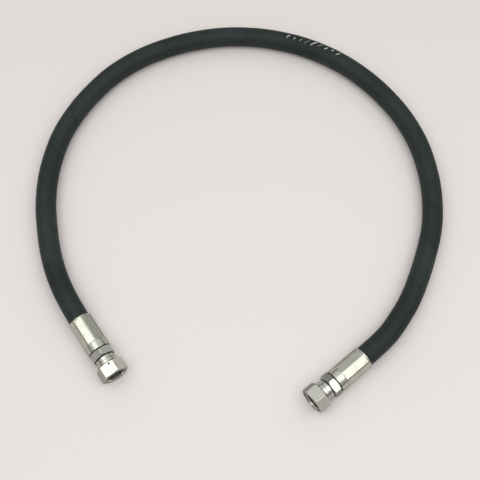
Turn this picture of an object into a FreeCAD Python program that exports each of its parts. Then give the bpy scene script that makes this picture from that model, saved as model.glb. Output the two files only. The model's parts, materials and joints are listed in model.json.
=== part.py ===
import FreeCAD, Part
import math
import os
import re
import Sketcher

# Hydraulic hose assembly: a two-wire rubber hose with a crimped swivel fitting on each end.
# Millimetres, +Z up. The floor is Z = 0 and the origin lies midway between the two fittings.

os.makedirs("parts", exist_ok=True)
doc = FreeCAD.newDocument("HoseAssembly")
sheet = doc.addObject("Spreadsheet::Sheet", "Sizes")

sizes = {
    # hose, from the bore outwards
    "hose_bore": 12.7,
    "tube_wall": 1.85,
    "braid_wall": 0.55,
    "interlayer_wall": 0.35,
    "cover_wall": 1.85,
    # ferrule, measured from the mouth that the hose enters
    "ferrule_length": 40.4,
    "ferrule_wall": 2.15,
    "crimp_depth": 0.45,
    "crimp_start": 1.6,
    "plain_length": 8.9,
    "lip_length": 4.3,
    # stem
    "stem_bore": 9.5,
    "tail_setback": 3.0,
    "stop_height": 1.9,
    "stop_length": 2.0,
    "stem_gap": 0.85,
    "stem_hex": 24.0,
    "stem_hex_length": 8.6,
    "neck_step": 0.22,
    "seat_rim": 1.5,
    "seat_half_angle": 30.0,
    # swivel nut, half inch parallel pipe thread
    "nut_gap": 0.85,
    "collar_diameter": 21.8,
    "collar_length": 8.4,
    "nut_hex": 27.0,
    "nut_hex_length": 13.8,
    "hex_chamfer": 0.3,
    "thread_minor": 18.63,
    "relief_length": 1.2,
    "mouth_chamfer": 1.1,
    # wire that holds the nut on the stem
    "wire_diameter": 1.8,
    "wire_setback": 2.6,
    "wire_land": 1.9,
    # play
    "swivel_clearance": 0.08,
    "wire_clearance": 0.1,
    "wire_float": 0.3,
    "grip_clearance": 0.02,
    "lip_clearance": 0.2,
}
for row, (alias, value) in enumerate(sizes.items(), start=1):
    sheet.set(f"A{row}", alias)
    sheet.set(f"B{row}", str(value))
    sheet.setAlias(f"B{row}", alias)
doc.recompute()

# The hose's hidden layers are eight-sided, which keeps their thin walls light.
hidden_sides = 8
path_steps = 24
crimp_jaws = 8
wire_sweep = 300


def value(formula):
    """The number that a formula of the sheet's names gives."""
    result = sheet.evalExpression(formula)
    return getattr(result, "Value", result)


def named(formula):
    """The formula with each size written as a cell of the sheet."""
    return re.sub(r"[a-z]\w*", lambda word: f"Sizes.{word[0]}" if word[0] in sizes else word[0], formula)


def corner(radius):
    """The corner radius of a hidden layer whose flats lie at a radius."""
    return f"({radius}) / cos({180 / hidden_sides} deg)"


# Radii of the hose's layers, written as formulas.
tube_inside = "hose_bore / 2"
tube_outside = f"{tube_inside} + tube_wall"
inner_braid_outside = f"{tube_outside} + braid_wall"
interlayer_outside = f"{inner_braid_outside} + interlayer_wall"
outer_braid_outside = f"{interlayer_outside} + braid_wall"
cover_outside = f"{outer_braid_outside} + cover_wall"

# Places along a fitting's axis, from the ferrule's mouth towards the nut.
crimp_end = "ferrule_length - plain_length"
lip_start = "ferrule_length - lip_length"
stop_end = f"{lip_start} - lip_clearance"
hose_grip = f"{stop_end} - stop_length"
stem_hex_start = "ferrule_length + stem_gap"
stem_hex_end = f"{stem_hex_start} + stem_hex_length"
nut_rear = f"{stem_hex_end} + nut_gap"
nut_hex_start = f"{nut_rear} + collar_length"
nut_front = f"{nut_hex_start} + nut_hex_length"
wire_place = f"{nut_hex_start} + wire_setback"
stem_front = f"{wire_place} + wire_land"
thread_start = f"{stem_front} + relief_length"
thread_end = f"{nut_front} - mouth_chamfer"

# Radii of the fitting's pieces.
ferrule_inside = f"{corner(outer_braid_outside)} + grip_clearance"
ferrule_outside = f"{ferrule_inside} + ferrule_wall"
lip_inside = "hose_bore / 2 + lip_clearance"
tail_outside = "hose_bore / 2 - grip_clearance"
neck_radius = "thread_minor / 2 - neck_step"
seat_radius = f"{neck_radius} - seat_rim"
wire_circle = f"{neck_radius} + swivel_clearance / 2"
groove_half = "wire_diameter / 2 + wire_clearance"
neck_groove = f"{wire_circle} - wire_diameter / 2 - wire_float"


def plane(body, role):
    """One of the body's own origin planes or axes."""
    return next(item for item in body.Origin.OriginFeatures if item.Role == role)


def attach(feature, body, role):
    feature.AttachmentSupport = (plane(body, role), [""])
    feature.MapMode = "FlatFace"


def outline(body, name, loops, role="XY_Plane"):
    """A sketch of closed outlines. Each corner is held by two formulas: along the axis, and out from it."""
    sketch = body.newObject("Sketcher::SketchObject", name)
    attach(sketch, body, role)
    for loop in loops:
        first = sketch.GeometryCount
        spots = [FreeCAD.Vector(value(named(x)), value(named(y)), 0) for x, y in loop]
        count = len(spots)
        for i in range(count):
            sketch.addGeometry(Part.LineSegment(spots[i], spots[(i + 1) % count]))
        for i in range(count):
            after = first + (i + 1) % count
            sketch.addConstraint(Sketcher.Constraint("Coincident", first + i, 2, after, 1))
        for i, (x, y) in enumerate(loop):
            for kind, formula, axis, number in (
                ("DistanceX", x, -2, spots[i].x),
                ("DistanceY", y, -1, spots[i].y),
            ):
                if formula == "0":
                    sketch.addConstraint(Sketcher.Constraint("PointOnObject", first + i, 1, axis))
                    continue
                rule = Sketcher.Constraint(kind, -1, 1, first + i, 1, number)
                index = sketch.addConstraint(rule)
                sketch.setExpression(f"Constraints[{index}]", named(formula))
    return sketch


def turned(body, kind, name, loops, role="XY_Plane"):
    """A Revolution or Groove of outlines about the fitting's axis."""
    sketch = outline(body, f"{name}Outline", loops, role)
    feature = body.newObject(f"PartDesign::{kind}", name)
    feature.Profile = sketch
    feature.ReferenceAxis = (sketch, ["H_Axis"])
    feature.Angle = 360
    return feature


def around(body, name, feature, count):
    """Copies of a feature, evenly round the fitting's axis."""
    copies = body.newObject("PartDesign::PolarPattern", name)
    copies.Originals = [feature]
    copies.Axis = (plane(body, "X_Axis"), [""])
    copies.Angle = 360
    copies.Occurrences = count
    body.Tip = copies
    return copies


def hexagon(body, across, start, length):
    """A hexagonal prism along the fitting's axis, each corner cut back at thirty degrees at both ends."""
    prism = body.newObject("PartDesign::AdditivePrism", "Hexagon")
    attach(prism, body, "YZ_Plane")
    prism.Polygon = 6
    prism.setExpression("Circumradius", named(f"{across} / 2 / cos(30 deg)"))
    prism.setExpression("Height", named(length))
    prism.setExpression("AttachmentOffset.Base.z", named(start))
    foot = f"{across} / 2 - hex_chamfer"
    top = f"{across} / 2 / cos(30 deg)"
    run = f"({top} - ({foot})) * tan(30 deg)"
    corners = [
        [(start, foot), (start, top), (f"{start} + {run}", top)],
        [(f"{start} + {length}", foot), (f"{start} + {length}", top), (f"{start} + {length} - {run}", top)],
    ]
    cut = body.newObject("PartDesign::Pocket", "CornerCut")
    cut.Profile = outline(body, "CornerOutline", corners)
    cut.Midplane = True
    cut.setExpression("Length", named(across))
    around(body, "CornerCuts", cut, 6)


def new_body(name):
    body = doc.addObject("PartDesign::Body", name)
    body.Label = name
    return body


def make_ferrule(end):
    """A sleeve crimped by eight jaws onto the skived hose, with a lip in the stem's lock groove."""
    body = new_body(f"ferrule_{end}")
    shell = [
        ("0", ferrule_inside),
        ("0", ferrule_outside),
        ("ferrule_length", ferrule_outside),
        ("ferrule_length", lip_inside),
        (lip_start, lip_inside),
        (lip_start, ferrule_inside),
    ]
    turned(body, "Revolution", "Sleeve", [shell])
    flat = body.newObject("PartDesign::SubtractiveBox", "CrimpFlat")
    attach(flat, body, "XY_Plane")
    flat.setExpression("Length", named(f"{crimp_end} - crimp_start"))
    flat.setExpression("Width", named(ferrule_outside))
    flat.setExpression("Height", named("2 * crimp_depth"))
    flat.setExpression("AttachmentOffset.Base.x", named("crimp_start"))
    flat.setExpression("AttachmentOffset.Base.y", named(f"- ({ferrule_outside}) / 2"))
    flat.setExpression("AttachmentOffset.Base.z", named(f"{ferrule_outside} - crimp_depth"))
    around(body, "CrimpFlats", flat, crimp_jaws)
    return body


def make_stem(end):
    """The insert: tail, hose stop, lock groove, hexagon, neck with the wire's groove, coned seat."""
    body = new_body(f"stem_{end}")
    stop = f"{tail_outside} + stop_height"
    wire_back = f"{wire_place} - ({groove_half})"
    wire_front = f"{wire_place} + {groove_half}"
    form = [
        ("tail_setback", "0"),
        ("tail_setback", tail_outside),
        (hose_grip, tail_outside),
        (hose_grip, stop),
        (stop_end, stop),
        (stop_end, "hose_bore / 2"),
        (stem_hex_start, "hose_bore / 2"),
        (stem_hex_start, neck_radius),
        (wire_back, neck_radius),
        (wire_back, neck_groove),
        (wire_front, neck_groove),
        (wire_front, neck_radius),
        (stem_front, neck_radius),
        (stem_front, "0"),
    ]
    hexagon(body, "stem_hex", stem_hex_start, "stem_hex_length")
    turned(body, "Revolution", "TurnedForm", [form])
    seat_depth = f"({seat_radius} - stem_bore / 2) / tan(seat_half_angle)"
    bore = [
        ("0", "0"),
        (stem_front, "0"),
        (stem_front, seat_radius),
        (f"{stem_front} - {seat_depth}", "stem_bore / 2"),
        ("0", "stem_bore / 2"),
    ]
    body.Tip = turned(body, "Groove", "BoreAndSeat", [bore])
    return body


def make_nut(end):
    """The swivel nut: collar, hexagon, threaded mouth, the wire's groove and its tangent hole."""
    body = new_body(f"swivel_nut_{end}")
    collar = [
        (nut_rear, "0"),
        (nut_rear, "collar_diameter / 2"),
        (f"{nut_hex_start} + hex_chamfer", "collar_diameter / 2"),
        (f"{nut_hex_start} + hex_chamfer", "0"),
    ]
    hexagon(body, "nut_hex", nut_hex_start, "nut_hex_length")
    turned(body, "Revolution", "Collar", [collar])
    plain = f"{neck_radius} + swivel_clearance"
    groove = f"{wire_circle} + {groove_half}"
    wire_back = f"{wire_place} - ({groove_half})"
    inside = [
        (nut_rear, "0"),
        (nut_front, "0"),
        (nut_front, "thread_minor / 2 + mouth_chamfer"),
        (thread_end, "thread_minor / 2"),
        (thread_start, "thread_minor / 2"),
        (thread_start, groove),
        (wire_back, groove),
        (wire_back, plain),
        (nut_rear, plain),
    ]
    turned(body, "Groove", "Bore", [inside])
    hole = body.newObject("PartDesign::SubtractiveCylinder", "WireHole")
    attach(hole, body, "XZ_Plane")
    hole.setExpression("Radius", named(groove_half))
    hole.setExpression("Height", named("nut_hex"))
    hole.setExpression("AttachmentOffset.Base.x", named(wire_place))
    hole.setExpression("AttachmentOffset.Base.y", named(wire_circle))
    body.Tip = hole
    return body


def make_wire(end):
    """The thrust wire: most of a turn in the grooves of neck and nut, and a straight tail in the nut's hole."""
    body = new_body(f"thrust_wire_{end}")
    half = "wire_diameter / 2"
    section = [
        (f"{wire_place} - {half}", f"{wire_circle} - {half}"),
        (f"{wire_place} + {half}", f"{wire_circle} - {half}"),
        (f"{wire_place} + {half}", f"{wire_circle} + {half}"),
        (f"{wire_place} - {half}", f"{wire_circle} + {half}"),
    ]
    turn = turned(body, "Revolution", "Turn", [section], "XZ_Plane")
    turn.Angle = wire_sweep
    turn.Reversed = True
    tail = body.newObject("PartDesign::AdditiveCylinder", "Tail")
    attach(tail, body, "XZ_Plane")
    tail.setExpression("Radius", named(half))
    tail.setExpression("Height", named(f"(nut_hex / 2 - ({wire_circle}) / 2) / cos(30 deg) - {half}"))
    tail.setExpression("AttachmentOffset.Base.x", named(wire_place))
    tail.setExpression("AttachmentOffset.Base.y", named(wire_circle))
    body.Tip = tail
    return body


# Each fitting: where the ferrule's mouth lies, the heading of its axis, how far each of its pieces is rolled
# about that axis, and how far the hose runs straight out of the mouth before its first bend.
fittings = {
    "a": {"mouth": (-149.03, 43.98), "heading": -54.8, "straight": 36.6, "ferrule": 12, "stem": 30, "nut": -50},
    "b": {"mouth": (151.12, 7.02), "heading": -139.3, "straight": 24.4, "ferrule": -22, "stem": 40, "nut": 70},
}

# The assembly rests on the lowest corner of each nut, which is this many degrees from pointing straight down.
lowest_corner = abs((fittings["a"]["nut"] + 120) % 60 - 30)
fitting_height = value(named(f"nut_hex / 2 / cos(30 deg) * cos({lowest_corner} deg)"))


def frame_of(end, turn=0):
    """Placement of a fitting's piece: local X runs along the axis, and turn rolls the piece about it."""
    place = fittings[end]
    x, y = place["mouth"]
    heading = FreeCAD.Rotation(FreeCAD.Vector(0, 0, 1), place["heading"])
    roll = FreeCAD.Rotation(FreeCAD.Vector(1, 0, 0), turn)
    return FreeCAD.Placement(FreeCAD.Vector(x, y, fitting_height), heading * roll)


pieces = []
for end, place in fittings.items():
    for make, turn in (
        (make_ferrule, place["ferrule"]),
        (make_stem, place["stem"]),
        (make_nut, place["nut"]),
        (make_wire, place["nut"]),
    ):
        piece = make(end)
        piece.Placement = frame_of(end, turn)
        pieces.append(piece)
doc.recompute()

# Route of the hose from fitting a round to fitting b, as two places seen from above and a rise: 0 where the
# hose lies on the floor, 1 at the fittings' height.
route = [
    (-191.7, 128.8, 0),
    (-203.1, 210.6, 0),
    (-182.3, 295.6, 0),
    (-112.9, 378.5, 0),
    (9.3, 416.8, 0),
    (132.6, 386.8, 0),
    (220.7, 295.6, 0),
    (243.5, 183.7, 0),
    (213.4, 86.3, 0),
    (186.5, 41.8, 0.6),
]


def end_run(end):
    """The hose's straight run at a fitting: the ferrule's mouth, and the first bend on the fitting's axis."""
    axis = frame_of(end).Rotation.multVec(FreeCAD.Vector(1, 0, 0))
    mouth = frame_of(end).Base
    return [mouth, mouth - axis * fittings[end]["straight"]]


def route_points():
    """The route as points in space, mouth to mouth."""
    low = value(named(cover_outside))
    middle = [FreeCAD.Vector(x, y, low + (fitting_height - low) * rise) for x, y, rise in route]
    return end_run("a") + middle + end_run("b")[::-1]


def bent_path(points):
    """Straight runs joined by tangent arcs: an arc takes 0.45 of the shorter run on each side of its point."""
    edges, radii, last = [], [], points[0]
    for before, here, after in zip(points, points[1:], points[2:]):
        incoming = (here - before).normalize()
        outgoing = (after - here).normalize()
        half_turn = incoming.getAngle(outgoing) / 2
        reach = 0.45 * min((here - before).Length, (after - here).Length)
        radius = reach / math.tan(half_turn)
        inward = (outgoing - incoming).normalize()
        centre = here + inward * (radius / math.cos(half_turn))
        start, end = here - incoming * reach, here + outgoing * reach
        edges.append(Part.LineSegment(last, start).toShape())
        edges.append(Part.Arc(start, centre - inward * radius, end).toShape())
        radii.append(radius)
        last = end
    edges.append(Part.LineSegment(last, points[-1]).toShape())
    return Part.Wire(edges), radii


def stations(path, steps):
    """Even steps along the path, each with its point and the direction of the hose there."""
    edges, step, done, found = path.OrderedEdges, path.Length / steps, 0.0, []
    for i in range(steps + 1):
        along = min(i * step, path.Length)
        while along > done + edges[0].Length + 1e-6:
            done += edges[0].Length
            edges = edges[1:]
        parameter = edges[0].getParameterByLength(min(along - done, edges[0].Length))
        found.append((edges[0].valueAt(parameter), edges[0].tangentAt(parameter)))
    return found


def ring(radius, sides, station):
    """A section of the hose across its path: a circle, or a polygon whose flats lie at the radius."""
    point, along = station
    if sides:
        reach = radius / math.cos(math.pi / sides)
        turns = [2 * math.pi * (i + 0.5) / sides for i in range(sides + 1)]
        wire = Part.makePolygon([FreeCAD.Vector(reach * math.cos(a), reach * math.sin(a), 0) for a in turns])
    else:
        wire = Part.Wire([Part.Circle(FreeCAD.Vector(), FreeCAD.Vector(0, 0, 1), radius).toShape()])
    side = FreeCAD.Vector(0, 0, 1).cross(along)
    wire.Placement = FreeCAD.Placement(point, FreeCAD.Rotation(side, FreeCAD.Vector(), along, "ZXY"))
    return wire


def filled(radius, sides, places):
    return Part.makeLoft([ring(radius, sides, place) for place in places], True, True)


points = route_points()
path, radii = bent_path(points)
print("hose between the ferrules", round(path.Length, 1), "mm")
print("bend radii", [round(radius) for radius in radii])

# Inside each ferrule the layers under the cover run on, straight, to the hose stop.
free = stations(path, path_steps)
grip = value(named(hose_grip))
deep = [(point + along * grip * way, along) for way, (point, along) in ((-1, free[0]), (1, free[-1]))]
gripped = [deep[0]] + free + [deep[1]]

layers = [
    ("inner_tube", tube_inside, tube_outside),
    ("inner_braid", tube_outside, inner_braid_outside),
    ("interlayer", inner_braid_outside, interlayer_outside),
    ("outer_braid", interlayer_outside, outer_braid_outside),
]
for name, inside, outside in layers:
    wall = filled(value(named(outside)), hidden_sides, gripped)
    space = filled(value(named(inside)), hidden_sides, gripped)
    layer = doc.addObject("Part::Feature", name)
    layer.Shape = wall.cut(space)
    layer.Label = name
    pieces.append(layer)

cover = doc.addObject("Part::Feature", "hose_cover")
cover_radius = value(named(cover_outside))
rubber = filled(cover_radius, 0, free)
expected = math.pi * cover_radius ** 2 * path.Length
print("hose volume over section times length", round(rubber.Volume / expected, 4))
cover.Shape = rubber.cut(filled(value(named(outer_braid_outside)), hidden_sides, free))
cover.Label = "hose_cover"
pieces.append(cover)
doc.recompute()

# Every object has to be sound before anything is written.
for item in doc.Objects:
    if any(state in item.State for state in ("Invalid", "Error")):
        raise RuntimeError(f"{item.Name} is {item.State}")
for piece in pieces:
    shape = piece.Shape
    if shape.isNull() or not shape.isValid() or len(shape.Solids) != 1:
        raise RuntimeError(f"{piece.Label} is not one sound solid")
for piece in pieces:
    piece.Shape.exportStep(f"parts/{piece.Label}.step")
    box = piece.Shape.BoundBox
    print(piece.Label, "volume", round(piece.Shape.Volume), "lowest", round(box.ZMin, 2), "highest", round(box.ZMax, 2))
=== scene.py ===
import json
import math
import bpy
import numpy as np
from mathutils import Matrix


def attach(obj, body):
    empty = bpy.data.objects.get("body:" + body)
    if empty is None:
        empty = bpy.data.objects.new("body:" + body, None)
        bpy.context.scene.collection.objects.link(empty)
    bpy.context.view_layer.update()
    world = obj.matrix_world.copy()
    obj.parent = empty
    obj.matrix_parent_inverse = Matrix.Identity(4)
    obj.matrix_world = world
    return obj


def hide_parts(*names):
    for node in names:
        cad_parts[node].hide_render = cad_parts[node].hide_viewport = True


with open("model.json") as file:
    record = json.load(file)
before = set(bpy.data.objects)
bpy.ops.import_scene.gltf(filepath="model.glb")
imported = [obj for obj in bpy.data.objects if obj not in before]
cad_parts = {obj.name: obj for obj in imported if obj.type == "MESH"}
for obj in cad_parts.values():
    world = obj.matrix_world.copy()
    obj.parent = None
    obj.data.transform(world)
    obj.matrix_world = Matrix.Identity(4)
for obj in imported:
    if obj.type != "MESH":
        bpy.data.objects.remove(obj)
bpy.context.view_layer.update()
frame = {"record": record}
mounts = {mount["name"]: mount for mount in frame["record"]["mounts"]}
mm = 0.001
print("frame loaded")


def srgb(text):
    # Hex to linear: (c + 0.055) / 1.055 to the power 2.4 above the toe of the curve, c / 12.92 below it.
    c = np.array([int(text[i:i + 2], 16) for i in (1, 3, 5)]) / 255
    return (*np.where(c > 0.04045, ((c + 0.055) / 1.055) ** 2.4, c / 12.92), 1.0)


def addNode(tree, kind, inputs=(), **settings):
    # One node with its settings and links. Inputs go by socket name, or as a list in socket order: a socket
    # makes a link, a node links its first output, and anything else becomes the input's value.
    node = tree.nodes.new("ShaderNode" + kind)
    for name, value in settings.items():
        setattr(node, name, value)
    pairs = inputs.items() if isinstance(inputs, dict) else enumerate(inputs)
    for name, value in pairs:
        if isinstance(value, bpy.types.Node):
            value = next(socket for socket in value.outputs if socket.enabled)
        if isinstance(value, bpy.types.NodeSocket):
            tree.links.new(value, node.inputs[name])
        else:
            node.inputs[name].default_value = value
    return node


def newMaterial(name):  # an empty material and its node tree
    material = bpy.data.materials.new(name)
    material.use_nodes = True
    material.node_tree.nodes.clear()
    return material, material.node_tree


sharpAngle = 30  # degrees past which an edge of a metal piece is shaded sharp


def gridPiece(name, points, along, material, body=None, closed=True, sharp=sharpAngle):
    # Quads between neighbouring rows and columns of points. Columns close round the piece; rows close on
    # themselves, or else a flat face closes each end. The UV map holds the distance along in metres and the
    # share of a turn.
    rows, cols = points.shape[:2]
    i, j = np.meshgrid(np.arange(rows if closed else rows - 1), np.arange(cols), indexing="ij")
    down, right = (i + 1) % rows, (j + 1) % cols
    corners = [i * cols + j, i * cols + right, down * cols + right, down * cols + j]
    quads = np.stack(corners, -1).reshape(-1, 4)
    u = np.stack([along[i], along[i], along[down], along[down]], -1).reshape(-1, 4)
    v = np.stack([j, j + 1, j + 1, j], -1).reshape(-1, 4) / cols
    flat = points.reshape(-1, 3)
    # each quad makes two tetrahedra with the middle; a negative volume in all means faces that point inwards
    a, b, c, d = (flat[quads[:, k]] - flat.mean(0) for k in range(4))
    volume = (np.einsum("ij,ij->i", a, np.cross(b, c)) + np.einsum("ij,ij->i", a, np.cross(c, d))).sum()
    turn = slice(None, None, -1) if volume < 0 else slice(None)
    quads, u, v = quads[:, turn], u[:, turn].reshape(-1), v[:, turn].reshape(-1)
    faces = quads.tolist()
    if not closed:
        first, last = np.arange(cols)[::-1], np.arange((rows - 1) * cols, rows * cols)
        faces += [first[turn].tolist(), last[turn].tolist()]
        u, v = np.append(u, np.repeat(along[[0, -1]], cols)), np.append(v, np.zeros(2 * cols))
    mesh = bpy.data.meshes.new(name)
    mesh.from_pydata(flat, [], faces)
    mesh.uv_layers.new(name="route").data.foreach_set("uv", np.stack([u, v], -1).reshape(-1))
    mesh.polygons.foreach_set("use_smooth", np.ones(len(faces), bool))
    mesh.set_sharp_from_angle(angle=math.radians(sharp))
    mesh.materials.append(material)
    piece = bpy.data.objects.new(name, mesh)
    bpy.context.scene.collection.objects.link(piece)
    if body:
        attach(piece, body)
    return piece


corner = {
    "curveRows": 6, "curveParts": 2.4,  # rows on a rounded corner, which reaches at most 1 / 2.4 of an edge
    "flatReach": 1.6, "flatParts": 2.1,  # the rows beyond it lie 1.6 times as far, at most 1 / 2.1 of it
}
rowsPerCorner = corner["curveRows"] + 2


def softened(corners, size, cols):
    # Rows of (x, r) over the columns. Each corner p of the closed outline becomes the quadratic curve
    # (1 - t)^2 a + 2 t (1 - t) p + t^2 b, whose ends a and b lie at most size away on the two edges. One more
    # row beyond each end keeps the shading of the straight parts flat.
    p = np.array([np.stack([x + np.zeros(cols), r + np.zeros(cols)], -1) for x, r in corners])

    def onEdge(step, distance, parts):
        # on the edge to the next (1) or last (-1) corner: a distance away, or 1 / parts of the edge if less
        edge = np.roll(p, -step, 0) - p
        length = np.linalg.norm(edge, axis=-1)[..., None]
        return p + edge * np.minimum(distance, length / parts) / length

    t = np.linspace(0, 1, corner["curveRows"])[None, :, None, None]
    a, b = (onEdge(step, size, corner["curveParts"]) for step in (-1, 1))
    curve = (1 - t) ** 2 * a[:, None] + 2 * t * (1 - t) * p[:, None] + t ** 2 * b[:, None]
    early, late = (onEdge(step, corner["flatReach"] * size, corner["flatParts"]) for step in (-1, 1))
    return np.concatenate([early[:, None], curve, late[:, None]], 1).reshape(-1, cols, 2)


def softMin(a, b, k):
    # The lesser of two values, rounded over about k where they meet: -k log(exp(-a / k) + exp(-b / k)).
    low = np.minimum(a, b)
    return low - k * np.log(np.exp(-(a - low) / k) + np.exp(-(b - low) / k))


def polygonRadius(angle, sides, across):
    # Distance from the axis to the flats of a regular polygon whose first corner lies at angle 0: half the
    # width across, over the cosine of the angle from the middle of the flat.
    share = 2 * math.pi / sides
    return across / 2 / np.cos(np.mod(angle, share) - share / 2)


camera = {
    "target": (0.020251, 0.139748, 0.0115),  # middle of the picture, at the height of the hose's axis
    "distance": 0.98486,
    "tilt": 22.33,  # degrees from looking straight down
    "roll": 0.674,
    "focal": 888.79, "frame": 480,  # both in pixels
    "sensor": 36, "nearest": 0.01,  # mm, m
}


def makeCamera():
    # It looks at the target from its distance; the pose's columns are right, up, back and place.
    tilt, roll = math.radians(camera["tilt"]), math.radians(camera["roll"])
    across = np.array([1.0, 0, 0])
    upward = np.array([0, math.cos(tilt), math.sin(tilt)])
    ahead = np.array([0, math.sin(tilt), -math.cos(tilt)])
    pose = np.eye(4)
    pose[:3, 0] = math.cos(roll) * across + math.sin(roll) * upward
    pose[:3, 1] = math.cos(roll) * upward - math.sin(roll) * across
    pose[:3, 2] = -ahead
    pose[:3, 3] = np.array(camera["target"]) - ahead * camera["distance"]
    data = bpy.data.cameras.new("camera")
    data.sensor_width = camera["sensor"]
    data.lens = camera["focal"] / camera["frame"] * camera["sensor"]
    data.clip_start = camera["nearest"]
    cameraObject = bpy.data.objects.new("camera", data)
    bpy.context.scene.collection.objects.link(cameraObject)
    cameraObject.matrix_world = Matrix(pose)
    bpy.context.scene.camera = cameraObject


makeCamera()
print("camera placed")


rubber = {
    "colour": "#15201F", "worn": "#242F2E", "seamColour": "#0F1413", "scuff": "#6A716E", "print": "#D8DAD6",
    "roughness": (0.56, 0.70),  # where it is smoothest and roughest
    "gloss": 0.36,  # specular level
    "mottleSize": 6.25, "broadSize": 36, "rubSize": 13, "flakeSize": 1.43,  # mm across the uneven tones
    "lapContrast": 0.2,  # how much each lap of the wrap differs in wear
    "wrapPitch": 49.1,  # mm between neighbouring seams of the cloth wrap, along the hose
    "wrapStart": 0.345,  # share of a lap at which the wrap begins
    "seamWidth": 1.1, "seamStrength": 0.8,
    "clothThread": 1.1,  # real threads are about 0.4 mm apart, drawn coarser so that they show
    "threadsRound": 64, "clothShare": 0.35,  # threads in a turn, and their part in the relief
    "relief": 0.12,  # mm
    "printStart": 0.5275,  # share of the hose's length at which what is left of its white line begins
    "printPlace": 0.225,  # share of a turn up from the outer side
    "printCell": 8.0, "printCount": 9,  # mm from one worn dash to the next, and how many there are
    "printSeed": 92,  # picks the dashes' lengths and strengths
    "printSlant": -0.14,  # share of a turn that a dash would fall over a whole cell
    "printScatter": 0.05, "printWidth": 0.032,  # shares of a turn
    "printReach": 0.1, "printLonger": 0.32,  # shares of a cell: a dash's least reach, and what chance may add
    "printSkew": 3,  # power of chance that keeps most dashes short
    "printFaintest": 0.25,
}


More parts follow.
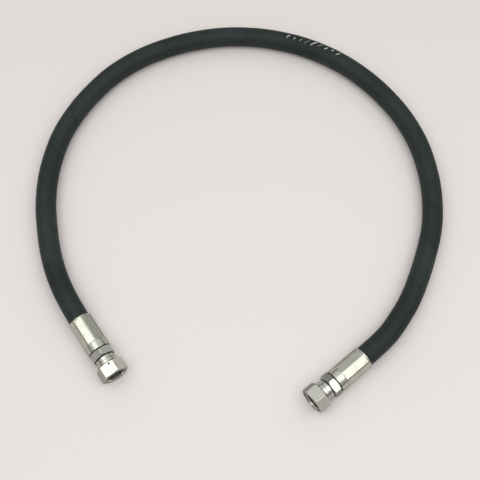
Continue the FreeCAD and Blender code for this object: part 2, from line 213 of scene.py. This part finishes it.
def makeCoverRubber(hoseLength):
    # Black synthetic rubber cured in a wound cloth: matt, faintly woven, a fine dark line at each lap.
    look = rubber
    material, tree = newMaterial("coverRubberClothCured")
    route = addNode(tree, "SeparateXYZ", [addNode(tree, "UVMap", uv_map="route")])
    run, share = route.outputs["X"], route.outputs["Y"]  # metres along the hose, share of a turn round it
    place = addNode(tree, "TexCoord").outputs["Object"]
    # laps of the wrap, counted along the hose and round it; a seam lies halfway between the middles of two
    lapsPerMetre = 1 / (look["wrapPitch"] * mm)
    laps = addNode(tree, "Math", [run, lapsPerMetre, look["wrapStart"]], operation="MULTIPLY_ADD")
    laps = addNode(tree, "Math", [laps, share], operation="ADD")
    fromMiddle = addNode(tree, "Math", [laps], operation="FRACT")
    fromMiddle = addNode(tree, "Math", [fromMiddle, 0.5], operation="SUBTRACT")
    fromMiddle = addNode(tree, "Math", [fromMiddle], operation="ABSOLUTE")
    half = look["seamWidth"] / 2 / look["wrapPitch"]
    seam = addNode(tree, "MapRange", {
        "Value": fromMiddle, "From Min": 0.5 - 2 * half, "From Max": 0.5 - 0.3 * half,
        "To Max": look["seamStrength"],
    }, interpolation_type="SMOOTHSTEP")
    # uneven wear, a little different from lap to lap
    mottle = addNode(tree, "TexNoise", {
        "Vector": place, "Scale": 1 / (look["mottleSize"] * mm), "Detail": 4, "Roughness": 0.6,
    })
    broad = addNode(tree, "TexNoise", {"Vector": place, "Scale": 1 / (look["broadSize"] * mm), "Detail": 2})
    lapNumber = addNode(tree, "Math", [laps], operation="FLOOR")
    lapTone = addNode(tree, "TexWhiteNoise", {"W": lapNumber}, noise_dimensions="1D")
    wear = addNode(tree, "Math", [mottle, broad], operation="MULTIPLY")
    wear = addNode(tree, "Math", [lapTone, look["lapContrast"], wear], operation="MULTIPLY_ADD")
    wear = addNode(tree, "MapRange", {"Value": wear, "From Min": 0.2, "From Max": 0.58})
    tone = addNode(tree, "Mix", {
        "Factor": wear, "A": srgb(look["colour"]), "B": srgb(look["worn"]),
    }, data_type="RGBA")
    tone = addNode(tree, "Mix", {"Factor": seam, "A": tone, "B": srgb(look["seamColour"])}, data_type="RGBA")
    # pale rubbed spots at the few highest places of their own noise
    rub = addNode(tree, "TexNoise", {
        "Vector": place, "Scale": 1 / (look["rubSize"] * mm), "Detail": 3, "Roughness": 0.7,
    })
    rub = addNode(tree, "MapRange", {"Value": rub, "From Min": 0.69, "From Max": 0.78, "To Max": 0.55})
    tone = addNode(tree, "Mix", {"Factor": rub, "A": tone, "B": srgb(look["scuff"])}, data_type="RGBA")
    # worn white marking: a short slanted dash in each cell along the hose, with its own length and strength
    cellsPerMetre = 1 / (look["printCell"] * mm)
    firstCell = look["printStart"] * hoseLength * cellsPerMetre
    cell = addNode(tree, "Math", [run, cellsPerMetre, -firstCell], operation="MULTIPLY_ADD")
    number = addNode(tree, "Math", [cell], operation="FLOOR")
    number = addNode(tree, "Math", [number, look["printSeed"]], operation="ADD")
    chance = addNode(tree, "TexWhiteNoise", {"W": number}, noise_dimensions="1D").outputs["Color"]
    chance = addNode(tree, "SeparateColor", [chance])
    across = addNode(tree, "Math", [cell], operation="FRACT")
    across = addNode(tree, "Math", [across, 0.5], operation="SUBTRACT")
    scatter, lowest = look["printScatter"], look["printPlace"] - look["printScatter"] / 2
    centre = addNode(tree, "Math", [chance.outputs["Red"], scatter, lowest], operation="MULTIPLY_ADD")
    centre = addNode(tree, "Math", [across, look["printSlant"], centre], operation="MULTIPLY_ADD")
    reach = addNode(tree, "Math", [chance.outputs["Green"], look["printSkew"]], operation="POWER")
    reach = addNode(tree, "Math", [reach, look["printLonger"], look["printReach"]], operation="MULTIPLY_ADD")
    inWidth = addNode(tree, "Math", [share, centre, look["printWidth"] / 2], operation="COMPARE")
    inLength = addNode(tree, "Math", [across, 0, reach], operation="COMPARE")
    middle = look["printCount"] / 2
    inLine = addNode(tree, "Math", [cell, middle, middle], operation="COMPARE")
    dash = addNode(tree, "Math", [inWidth, inLength], operation="MULTIPLY")
    dash = addNode(tree, "Math", [dash, inLine], operation="MULTIPLY")
    flaked = addNode(tree, "TexNoise", {"Vector": place, "Scale": 1 / (look["flakeSize"] * mm), "Detail": 2})
    flaked = addNode(tree, "MapRange", {"Value": flaked, "From Min": 0.34, "From Max": 0.46})
    dash = addNode(tree, "Math", [dash, flaked], operation="MULTIPLY")
    least = look["printFaintest"]
    strength = addNode(tree, "Math", [chance.outputs["Blue"], 1 - least, least], operation="MULTIPLY_ADD")
    dash = addNode(tree, "Math", [dash, strength], operation="MULTIPLY")
    tone = addNode(tree, "Mix", {"Factor": dash, "A": tone, "B": srgb(look["print"])}, data_type="RGBA")
    # cloth imprint: crossed waves of the threads' spacing along and round the hose
    warp = addNode(tree, "Math", [run, 2 * math.pi / (look["clothThread"] * mm)], operation="MULTIPLY")
    warp = addNode(tree, "Math", [warp], operation="SINE")
    weft = addNode(tree, "Math", [share, 2 * math.pi * look["threadsRound"]], operation="MULTIPLY")
    weft = addNode(tree, "Math", [weft], operation="SINE")
    cloth = addNode(tree, "Math", [warp, weft], operation="MULTIPLY")
    height = addNode(tree, "Math", [cloth, look["clothShare"], mottle], operation="MULTIPLY_ADD")
    bump = addNode(tree, "Bump", {"Strength": 0.35, "Distance": look["relief"] * mm, "Height": height})
    rough = addNode(tree, "MapRange", {
        "Value": mottle, "To Min": look["roughness"][0], "To Max": look["roughness"][1],
    })
    shader = addNode(tree, "BsdfPrincipled", {
        "Base Color": tone, "Roughness": rough, "Specular IOR Level": look["gloss"], "Normal": bump,
    })
    addNode(tree, "OutputMaterial", {"Surface": shader})
    return material


liner = {
    "colour": "#161818", "paler": "#242626", "roughness": 0.42,
    "cloudSize": 3.3, "relief": 0.05,  # mm
}


def makeInnerRubber():
    # Smooth extruded nitrile rubber, black with a slight sheen.
    material, tree = newMaterial("nitrileTubeRubber")
    place = addNode(tree, "TexCoord").outputs["Object"]
    cloud = addNode(tree, "TexNoise", {"Vector": place, "Scale": 1 / (liner["cloudSize"] * mm), "Detail": 3})
    tone = addNode(tree, "Mix", {
        "Factor": cloud, "A": srgb(liner["colour"]), "B": srgb(liner["paler"]),
    }, data_type="RGBA")
    bump = addNode(tree, "Bump", {"Strength": 0.2, "Distance": liner["relief"] * mm, "Height": cloud})
    shader = addNode(tree, "BsdfPrincipled", {
        "Base Color": tone, "Roughness": liner["roughness"], "Normal": bump,
    })
    addNode(tree, "OutputMaterial", {"Surface": shader})
    return material


braid = {
    "brass": "#C8AE74", "shadow": "#6B5A36", "roughness": 0.38, "relief": 0.2,
    "bandSize": 4.2,  # mm; real bands of fine wire are about half as wide, drawn coarser so that they show
    "bandsRound": 12,
}


def makeBraidWire():
    # Brass-coated steel wire braided in flat bands: two sets of waves wound opposite ways round the hose, of
    # which the higher one shows.
    material, tree = newMaterial("brassCoatedBraid")
    route = addNode(tree, "SeparateXYZ", [addNode(tree, "UVMap", uv_map="route")])
    run, share = route.outputs["X"], route.outputs["Y"]
    bands = addNode(tree, "Math", [run, 2 * math.pi / (braid["bandSize"] * mm)], operation="MULTIPLY")
    waves = []
    for sign in (1, -1):
        wave = addNode(tree, "Math", [share, sign * 2 * math.pi * braid["bandsRound"], bands],
                       operation="MULTIPLY_ADD")
        waves.append(addNode(tree, "Math", [wave], operation="SINE"))
    upper = addNode(tree, "Math", waves, operation="MAXIMUM")
    tone = addNode(tree, "Mix", {
        "Factor": upper, "A": srgb(braid["shadow"]), "B": srgb(braid["brass"]),
    }, data_type="RGBA")
    bump = addNode(tree, "Bump", {"Strength": 0.8, "Distance": braid["relief"] * mm, "Height": upper})
    shader = addNode(tree, "BsdfPrincipled", {
        "Base Color": tone, "Metallic": 1.0, "Roughness": braid["roughness"], "Normal": bump,
    })
    addNode(tree, "OutputMaterial", {"Surface": shader})
    return material


steel = {
    "toolMark": 0.6, "cloudSize": 11, "dentSize": 3.1,  # mm across the marks, the uneven tone and the dents
    "relief": 0.02, "cloudShare": 0.6,  # mm, and the uneven tone's part in it
    "roughnessSpread": (-0.05, 0.07),  # below and above each finish's own
    "gapShade": "#3A3A34", "gapShadeReach": 3.5,  # painted shade: mm of open space, below which the metal is darkened
    "outlineTint": "#959A9A",  # how bright the metal stays towards its outline
    # what differs from piece to piece; crimping leaves dents, so many mm deep
    "zincPlatedSleeve": {"pale": "#D2D2C8", "dark": "#B8BAAC", "roughness": 0.25, "dents": 0.12},
    "zincPlatedHexSteel": {"pale": "#D2D2CC", "dark": "#BCBDB4", "roughness": 0.22, "dents": 0},
    "drawnSpringWire": {"pale": "#8E8F90", "dark": "#77787A", "roughness": 0.35, "dents": 0},
}


def makeSteel(name):
    # Turned and hexagon steel, zinc plated with a clear passivation: pale with a trace of yellow green, soft
    # mirror reflections broken by tool marks that run round it. The spring wire is drawn bright and left
    # unplated, so it is greyer and duller.
    finish = steel[name]
    material, tree = newMaterial(name)
    run = addNode(tree, "SeparateXYZ", [addNode(tree, "UVMap", uv_map="route")]).outputs["X"]
    place = addNode(tree, "TexCoord").outputs["Object"]
    marks = addNode(tree, "TexNoise", {
        "W": run, "Scale": 1 / (steel["toolMark"] * mm), "Detail": 2,
    }, noise_dimensions="1D")
    cloud = addNode(tree, "TexNoise", {
        "Vector": place, "Scale": 1 / (steel["cloudSize"] * mm), "Detail": 4, "Roughness": 0.55,
    })
    tone = addNode(tree, "Mix", {
        "Factor": cloud, "A": srgb(finish["pale"]), "B": srgb(finish["dark"]),
    }, data_type="RGBA")
    # painted shade in the gaps: where little space is open within a few mm, the colour goes to the dark shade
    # colour
    space = addNode(tree, "AmbientOcclusion", {"Distance": steel["gapShadeReach"] * mm}, samples=8).outputs["AO"]
    outsideGapShade = addNode(tree, "MapRange", {"Value": space, "From Min": 0.22, "From Max": 0.7})
    tone = addNode(tree, "Mix", {"Factor": outsideGapShade, "A": srgb(steel["gapShade"]), "B": tone}, data_type="RGBA")
    smoother, rougher = steel["roughnessSpread"]
    rough = addNode(tree, "MapRange", {
        "Value": cloud, "From Min": 0.3, "From Max": 0.7,
        "To Min": finish["roughness"] + smoother, "To Max": finish["roughness"] + rougher,
    })
    height = addNode(tree, "Math", [cloud, steel["cloudShare"], marks], operation="MULTIPLY_ADD")
    uneven = addNode(tree, "TexNoise", {"Vector": place, "Scale": 1 / (steel["dentSize"] * mm), "Detail": 1})
    dented = addNode(tree, "Bump", {"Strength": 1.0, "Distance": finish["dents"] * mm, "Height": uneven})
    bump = addNode(tree, "Bump", {
        "Strength": 0.25, "Distance": steel["relief"] * mm, "Height": height, "Normal": dented,
    })
    shader = addNode(tree, "BsdfPrincipled", {
        "Base Color": tone, "Metallic": 1.0, "Roughness": rough, "Specular Tint": srgb(steel["outlineTint"]),
        "Normal": bump,
    })
    addNode(tree, "OutputMaterial", {"Surface": shader})
    return material


hose = {
    # radii in mm: the bore, then the outside of each layer
    "bore": 6.35, "tube": 8.20, "innerBraid": 8.75, "interlayer": 9.10, "outerBraid": 9.65, "cover": 11.50,
    "wrapStep": 0.14, "wrapEdge": 120,  # mm that each lap stands over the last, and how sharply it rises
    "grip": 33.9,  # mm that the layers under the cover run on inside a ferrule
    "mouthSeat": 0.5,  # mm that the cover reaches into the ferrule's mouth
    "spacing": 1.0, "layerRows": 260,  # mm between the cover's rows, and rows of each layer under it
    "insideEvery": 6, "cols": 72, "sharp": 40,  # inner walls take every sixth row
    "splineSteps": 64,
    # route from fitting a to fitting b, as in the part's source, in metres
    "route": [
        (-0.14903, 0.04398, 0.014648), (-0.170127, 0.073888, 0.014648), (-0.1917, 0.1288, 0.0115),
        (-0.2031, 0.2106, 0.0115), (-0.1823, 0.2956, 0.0115), (-0.1129, 0.3785, 0.0115),
        (0.0093, 0.4168, 0.0115), (0.1326, 0.3868, 0.0115), (0.2207, 0.2956, 0.0115),
        (0.2435, 0.1837, 0.0115), (0.2134, 0.0863, 0.0115), (0.1865, 0.0418, 0.013389),
        (0.169618, 0.022931, 0.014648), (0.15112, 0.00702, 0.014648),
    ],
}
hoseAngles = np.linspace(0, 2 * math.pi, hose["cols"], endpoint=False)


def routePoints():
    # A NURBS spline of order 3 on the route's points, read back as a fine polyline.
    curve = bpy.data.curves.new("route", "CURVE")
    curve.dimensions = "3D"
    curve.resolution_u = hose["splineSteps"]
    spline = curve.splines.new("NURBS")
    spline.points.add(len(hose["route"]) - 1)
    spline.points.foreach_set("co", np.hstack([hose["route"], np.ones((len(hose["route"]), 1))]).reshape(-1))
    spline.order_u = 3
    spline.use_endpoint_u = True
    holder = bpy.data.objects.new("route", curve)
    bpy.context.scene.collection.objects.link(holder)
    mesh = bpy.data.meshes.new_from_object(holder)
    line = np.empty(len(mesh.vertices) * 3)
    mesh.vertices.foreach_get("co", line)
    bpy.data.objects.remove(holder)
    bpy.data.meshes.remove(mesh)
    return line.reshape(-1, 3)


def alongLine(line, places):
    # Points and directions at distances along the line, which runs on straight beyond both its ends.
    run = np.concatenate([[0], np.cumsum(np.linalg.norm(np.diff(line, axis=0), axis=1))])
    inside = np.clip(places, 0, run[-1])
    points = np.stack([np.interp(inside, run, line[:, k]) for k in range(3)], -1)
    slope = np.gradient(line, run, axis=0)
    heading = np.stack([np.interp(inside, run, slope[:, k]) for k in range(3)], -1)
    heading /= np.linalg.norm(heading, axis=1)[:, None]
    return points + heading * (places - inside)[:, None], heading


def tubePiece(name, line, places, outer, inner, material):
    # A wall between two radii carried along the line: point + radius (cos(angle) side + sin(angle) over). It
    # goes out along the outer radius, which may differ by place and angle, and back along the inner one in
    # fewer rows.
    back = np.unique(np.append(places[::hose["insideEvery"]], places[-1]))[::-1]
    allPlaces = np.concatenate([places, back])
    outside = np.broadcast_to(outer, (len(places), hose["cols"]))
    radius = np.vstack([outside, np.full((len(back), hose["cols"]), inner)]) * mm
    points, heading = alongLine(line, allPlaces)
    side = np.cross([0, 0, 1.0], heading)
    side /= np.linalg.norm(side, axis=1)[:, None]
    over = np.cross(heading, side)
    cosine, sine = np.cos(hoseAngles)[None, :, None], np.sin(hoseAngles)[None, :, None]
    points = points[:, None] + radius[..., None] * (cosine * side[:, None] + sine * over[:, None])
    return gridPiece(name, points, allPlaces, material, "hose", sharp=hose["sharp"])


def coverRadius(places):
    # Full radius less a saw-toothed step: each lap of the left-handed wrap rises at its seam, by the logistic
    # curve 1 / (1 + exp(-edge (phase - 0.5))), and falls away evenly behind it.
    laps = places[:, None] / (rubber["wrapPitch"] * mm) + rubber["wrapStart"] + hoseAngles / (2 * math.pi)
    phase = np.mod(laps + 0.5, 1)
    rise = 1 / (1 + np.exp(-(phase - 0.5) * hose["wrapEdge"])) - phase
    return hose["cover"] - hose["wrapStep"] / 2 + hose["wrapStep"] * rise


line = routePoints()
hoseLength = float(np.linalg.norm(np.diff(line, axis=0), axis=1).sum())
coverRubber, innerRubber, braidWire = makeCoverRubber(hoseLength), makeInnerRubber(), makeBraidWire()
ends = np.array([-hose["mouthSeat"], hoseLength / mm + hose["mouthSeat"]]) * mm
coverPlaces = np.linspace(*ends, int(hoseLength / mm / hose["spacing"]))
cover = tubePiece("coverTube", line, coverPlaces, coverRadius(coverPlaces), hose["outerBraid"], coverRubber)
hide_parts("hose_cover")

layerPlaces = np.linspace(-hose["grip"] * mm, hoseLength + hose["grip"] * mm, hose["layerRows"])
for name, node, inner, outer, material, slotName in (
    ("outerBraidSleeve", "outer_braid", "interlayer", "outerBraid", braidWire, "braid_wire"),
    ("interlayerSleeve", "interlayer", "innerBraid", "interlayer", innerRubber, "inner_rubber"),
    ("innerBraidSleeve", "inner_braid", "tube", "innerBraid", braidWire, "braid_wire"),
    ("innerTubeLiner", "inner_tube", "bore", "tube", innerRubber, "inner_rubber"),
):
    layer = tubePiece(name, line, layerPlaces, hose[outer], hose[inner], material)
    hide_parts(node)
print("hose made,", round(hoseLength / mm), "mm between the ferrules")


fitting = {
    "threadMiddle": 68.3,  # mm from the ferrule's mouth to the middle of the nut's thread
    # degrees that each piece is rolled about its fitting's axis
    "turns": {"a": {"ferrule": 12, "stem": 30, "nut": -50}, "b": {"ferrule": -19, "stem": 40, "nut": 70}},
    "hexCols": 240, "cornerCrowd": 0.8,  # columns round a hexagon, and how far its corners draw them together
    "cornerCut": 0.12, "cornerSoft": 0.04,  # mm off a hexagon's corners, and how round that leaves them
    "edge": 0.15,  # mm, the small round on stems and nuts
}


def fittingPoints(end, turn, x, r, angle):
    # Local X runs along the fitting from the ferrule's mouth, angle starts at local Y; all lengths in mm.
    axis = np.array(mounts[f"port_{end}"]["axis"])
    mouth = np.array(mounts[f"port_{end}"]["pos_m"]) - axis * fitting["threadMiddle"] * mm
    side = np.array([-axis[1], axis[0], 0])
    rolled = angle + math.radians(turn)
    out = np.cos(rolled)[..., None] * side + np.sin(rolled)[..., None] * np.array([0, 0, 1.0])
    return mouth + (x[..., None] * axis + r[..., None] * out) * mm


def turnedPiece(name, end, turn, profile, angle, material, body):
    # Rows of (x, r) carried round the fitting's axis, one column to each angle.
    points = fittingPoints(end, turn, profile[..., 0], profile[..., 1], angle)
    step = np.linalg.norm(np.diff(profile, axis=0), axis=-1).mean(1)
    return gridPiece(name, points, np.concatenate([[0], np.cumsum(step)]) * mm, material, body)


def hexAngles():
    # Columns round a hexagon, drawn together at its corners: even share t less crowd sin(6 t) / 6.
    t = np.linspace(0, 2 * math.pi, fitting["hexCols"], endpoint=False)
    return t - fitting["cornerCrowd"] * np.sin(6 * t) / 6


def hexCorners(start, end, across, foot, angle):
    # Outline of a hexagon bar turned down at both ends by a thirty degree chamfer that begins at radius foot.
    widest = across / 2 / math.cos(math.pi / 6) - fitting["cornerCut"]
    r = softMin(polygonRadius(angle, 6, across), widest, fitting["cornerSoft"])
    run = (r - foot) * math.tan(math.pi / 6)
    return [(start, foot), (start + run, r), (end - run, r), (end, foot)]


# here and for the stem and the nut: places along the fitting from the ferrule's mouth, and radii, in mm
ferrule = {
    "length": 40.4, "radius": 12.615, "mouthBore": 11.75, "mouth": 1.5, "bore": 10.465,
    "lipBore": 6.55, "lip": 4.3,
    "flatDepth": 0.65, "flatStart": 1.2, "flatEnd": 31.9, "step": 0.5, "jaws": 8,
    "edge": 0.3, "ridge": 0.04, "cols": 360,
}


def makeFerrulePiece(end):
    f = ferrule
    angle = np.linspace(0, 2 * math.pi, f["cols"], endpoint=False)
    # Eight jaw flats, each a chord of the round sleeve, that step up to the round at both ends.
    flats = polygonRadius(angle + math.pi / f["jaws"], f["jaws"], 2 * (f["radius"] - f["flatDepth"]))
    pressed = softMin(f["radius"], flats, f["ridge"])
    corners = [
        (0, f["mouthBore"]), (0, f["radius"]),
        (f["flatStart"], f["radius"]), (f["flatStart"] + f["step"], pressed),
        (f["flatEnd"] - f["step"], pressed), (f["flatEnd"], f["radius"]),
        (f["length"], f["radius"]), (f["length"], f["lipBore"]),
        (f["length"] - f["lip"], f["lipBore"]), (f["length"] - f["lip"], f["bore"]), (f["mouth"], f["bore"]),
    ]
    profile = softened(corners, f["edge"], len(angle))
    turn = fitting["turns"][end]["ferrule"]
    piece = turnedPiece(f"crimpSleeve_{end}", end, turn, profile, angle, zincSleeve, "hose")
    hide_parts(f"ferrule_{end}")


stem = {
    "bore": 4.75, "tail": 6.33, "tailStart": 3.0, "landing": 0.6,
    "barbs": 3, "barbPitch": 8.5, "barbDepth": 0.5, "barbDrop": 0.2,
    "stopStart": 33.9, "stopEnd": 35.9, "stop": 8.23, "lock": 6.35,
    "hexStart": 41.25, "hexEnd": 49.85, "hex": 24.0, "footDepth": 0.2,
    "neck": 9.095, "groove": 7.935, "front": 63.6, "seat": 7.595, "seatDepth": 4.927,
}


def makeStemPiece(end):
    s = stem
    angle = hexAngles()
    barbs = [(s["tailStart"], s["tail"] - s["barbDepth"])]
    for k in range(1, s["barbs"] + 1):  # each barb is a slow rise and a sharp drop
        top = s["tailStart"] + s["barbPitch"] * k
        barbs += [(top, s["tail"]), (top + s["barbDrop"], s["tail"] - s["barbDepth"])]
    hexagon = hexCorners(s["hexStart"], s["hexEnd"], s["hex"], s["hex"] / 2 - s["footDepth"], angle)
    back, front = wire["place"] - wire["land"], wire["place"] + wire["land"]
    corners = [
        (s["front"], s["neck"]), (s["front"], s["seat"]), (s["front"] - s["seatDepth"], s["bore"]),
        (s["tailStart"], s["bore"]), *barbs,
        (s["stopStart"] - s["landing"], s["tail"]), (s["stopStart"], s["tail"]), (s["stopStart"], s["stop"]),
        (s["stopEnd"], s["stop"]), (s["stopEnd"], s["lock"]), (s["hexStart"], s["lock"]), *hexagon,
        (s["hexEnd"], s["neck"]), (back, s["neck"]), (back, s["groove"]),
        (front, s["groove"]), (front, s["neck"]),
    ]
    profile = softened(corners, fitting["edge"], len(angle))
    turn = fitting["turns"][end]["stem"]
    piece = turnedPiece(f"hoseInsert_{end}", end, turn, profile, angle, zincHex, "hose")
    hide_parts(f"stem_{end}")


nut = {
    "rear": 50.7, "rearRing": 10.45, "rearRingEnd": 54.4, "waist": 10.15, "waistSlope": 0.1,
    "ring": 10.9, "ringStart": 55.1, "ringEnd": 58.0, "undercut": 10.5, "undercutSlope": 0.3,
    "hexStart": 59.1, "hex": 27.0, "front": 72.9, "foot": 13.3, "plain": 9.175, "relief": 10.135,
    "minor": 9.315, "major": 10.478, "pitch": 1.814, "threadStart": 64.8, "threadEnd": 71.8, "mouth": 10.415,
    "rowsPerPitch": 16, "groovePeak": 1.1, "grooveFlank": 2.4, "grooveFloor": 0.95,
}


def makeNutPiece(end):
    n = nut
    angle = hexAngles()
    back = wire["place"] - wire["land"]
    corners = [
        (n["threadStart"], n["relief"]), (back, n["relief"]), (back, n["plain"]), (n["rear"], n["plain"]),
        (n["rear"], n["rearRing"]), (n["rearRingEnd"], n["rearRing"]),
        (n["rearRingEnd"] + n["waistSlope"], n["waist"]), (n["ringStart"] - n["waistSlope"], n["waist"]),
        (n["ringStart"], n["ring"]), (n["ringEnd"], n["ring"]),
        (n["ringEnd"] + n["undercutSlope"], n["undercut"]), (n["hexStart"], n["undercut"]),
        *hexCorners(n["hexStart"], n["front"], n["hex"], n["foot"], angle),
        (n["front"], n["mouth"]), (n["threadEnd"], n["minor"]), (n["threadStart"], n["minor"]),
    ]
    rows = softened(corners, fitting["edge"], len(angle))[:-2 * rowsPerCorner]
    # Right-handed thread, in place of the last two corners. The phase is the pitches past its start less the
    # share of a turn, and the groove's depth goes by peak - flank |phase - 0.5|, cut off at the floor and at
    # nothing. It fades out over one pitch before the relief.
    places = np.arange(n["threadEnd"], n["threadStart"], -n["pitch"] / n["rowsPerPitch"])
    x = places[:, None] + np.zeros(len(angle))
    pitches = (x - n["threadStart"]) / n["pitch"]
    phase = np.mod(pitches - angle / (2 * math.pi), 1)
    share = np.clip(n["groovePeak"] - n["grooveFlank"] * np.abs(phase - 0.5), 0, n["grooveFloor"])
    depth = (n["major"] - n["minor"]) * share
    thread = np.stack([x, n["minor"] + depth * np.clip(pitches, 0, 1)], -1)
    profile = np.concatenate([rows, thread])
    turn = fitting["turns"][end]["nut"]
    piece = turnedPiece(f"swivelNut_{end}", end, turn, profile, angle, zincHex, None)
    drillWireHole(piece, end)
    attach(piece, f"nut_{end}")
    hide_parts(f"swivel_nut_{end}")


wire = {
    "place": 61.7,  # mm from the ferrule's mouth to the plane that it turns in
    "circle": 9.135, "radius": 0.9,  # radius of its turn, and of the wire itself
    "land": 1.0,  # half the width of the grooves that it lies in
    "hole": 1.0, "drillStart": -4.0, "drillEnd": -20.0,  # radius of the hole, and how far along the tangent
    "sweep": 300, "tail": 9.4, "bend": 0.4,  # degrees of turn, and where the straight tail starts and stops
    "sweepRows": 120, "tailRows": 10, "cols": 24,
}


def rodPiece(end, places, radius, name, material, body=None):
    # Round rod along points given in the nut's local mm, lying in a plane across the axis: place + radius
    # (cos(t) side + sin(t) up), side along the axis.
    heading = np.gradient(places, axis=0)
    heading /= np.linalg.norm(heading, axis=1)[:, None]
    side = np.tile([1.0, 0, 0], (len(places), 1))
    up = np.cross(heading, side)
    t = np.linspace(0, 2 * math.pi, wire["cols"], endpoint=False)
    ring = np.cos(t)[None, :, None] * side[:, None] + np.sin(t)[None, :, None] * up[:, None]
    x, y, z = np.moveaxis(places[:, None] + radius * ring, -1, 0)
    points = fittingPoints(end, fitting["turns"][end]["nut"], x, np.hypot(y, z), np.arctan2(z, y))
    run = np.concatenate([[0], np.cumsum(np.linalg.norm(np.diff(places, axis=0), axis=1))]) * mm
    return gridPiece(name, points, run, material, body, closed=False)


def drillWireHole(piece, end):
    # The wire is fed in through a hole at a tangent to its groove: a drill is subtracted, then removed.
    w = wire
    places = np.array([(w["place"], w["drillStart"], w["circle"]), (w["place"], w["drillEnd"], w["circle"])])
    drill = rodPiece(end, places, w["hole"], "drill", zincHex)
    cut = piece.modifiers.new("wireHole", "BOOLEAN")
    cut.object, cut.operation, cut.solver = drill, "DIFFERENCE", "EXACT"
    drilled = bpy.data.meshes.new_from_object(piece.evaluated_get(bpy.context.evaluated_depsgraph_get()))
    piece.modifiers.clear()
    piece.data = drilled
    drilled.set_sharp_from_angle(angle=math.radians(sharpAngle))
    bpy.data.objects.remove(drill)


def makeWirePiece(end):
    # Straight tail in the nut's hole, then most of a turn round the stem's neck.
    w = wire
    t = np.radians(np.linspace(0, w["sweep"], w["sweepRows"]))
    y = np.concatenate([np.linspace(-w["tail"], -w["bend"], w["tailRows"]), w["circle"] * np.sin(t)])
    z = np.concatenate([np.full(w["tailRows"], w["circle"]), w["circle"] * np.cos(t)])
    places = np.stack([np.full(len(y), w["place"]), y, z], -1)
    piece = rodPiece(end, places, w["radius"], f"thrustWire_{end}", springSteel, f"nut_{end}")
    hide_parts(f"thrust_wire_{end}")


zincSleeve = makeSteel("zincPlatedSleeve")
zincHex = makeSteel("zincPlatedHexSteel")
springSteel = makeSteel("drawnSpringWire")
for end in "ab":
    makeFerrulePiece(end)
    makeStemPiece(end)
    makeNutPiece(end)
    makeWirePiece(end)
print("fittings made")

alongLine(line, coverPlaces)[0][::5].tolist()


studio = {
    "floorColour": "#E8E3E1", "floorRoughness": 0.85,
    "floorReach": 6.0, "floorDrop": 0.0002,  # metres to each side, and down so that nothing lies in it
    "skyColour": "#F4F3F1", "horizon": 0.28, "overhead": 0.88,  # the world's strength at eye level and above
    "horizonEnd": 0.1, "overheadStart": 0.85,  # heights between which it grows, 1 being straight up
    "backLift": 0.12,
    "lampPower": 8.7, "lampSize": (2.1, 1.0), "lampPlace": (0.1, -0.12, 1.25), "lampColour": "#FFFDFB",
}


def makeFloor():
    # Matt pale background paper.
    material, tree = newMaterial("paperSweep")
    shader = addNode(tree, "BsdfPrincipled", {
        "Base Color": srgb(studio["floorColour"]), "Roughness": studio["floorRoughness"],
    })
    addNode(tree, "OutputMaterial", {"Surface": shader})
    mesh = bpy.data.meshes.new("floor")
    reach, z = studio["floorReach"], -studio["floorDrop"]
    corners = [(-reach, -reach, z), (reach, -reach, z), (reach, reach, z), (-reach, reach, z)]
    mesh.from_pydata(corners, [], [(0, 1, 2, 3)])
    mesh.materials.append(material)
    floor = bpy.data.objects.new("floor", mesh)
    bpy.context.scene.collection.objects.link(floor)


def makeWorld():
    # A studio tent: dim at eye level, brighter overhead and a little brighter at the back.
    world = bpy.data.worlds.new("studio")
    bpy.context.scene.world = world
    world.use_nodes = True
    tree = world.node_tree
    tree.nodes.clear()
    direction = addNode(tree, "SeparateXYZ", [addNode(tree, "TexCoord").outputs["Generated"]])
    height = addNode(tree, "Math", [direction.outputs["Y"], studio["backLift"], direction.outputs["Z"]],
                     operation="MULTIPLY_ADD")
    strength = addNode(tree, "MapRange", {
        "Value": height, "From Min": studio["horizonEnd"], "From Max": studio["overheadStart"],
        "To Min": studio["horizon"], "To Max": studio["overhead"],
    }, interpolation_type="SMOOTHSTEP")
    sky = addNode(tree, "Background", {"Color": srgb(studio["skyColour"]), "Strength": strength})
    addNode(tree, "OutputWorld", {"Surface": sky})


def makeLamp():
    # One wide soft box hung level above the ring.
    data = bpy.data.lights.new("softBox", "AREA")
    data.energy = studio["lampPower"]
    data.shape = "RECTANGLE"
    data.size, data.size_y = studio["lampSize"]
    data.color = srgb(studio["lampColour"])[:3]
    lamp = bpy.data.objects.new("softBox", data)
    bpy.context.scene.collection.objects.link(lamp)
    lamp.location = studio["lampPlace"]


makeFloor()
makeWorld()
makeLamp()
bpy.context.scene.view_settings.view_transform = "Standard"
print("studio ready")
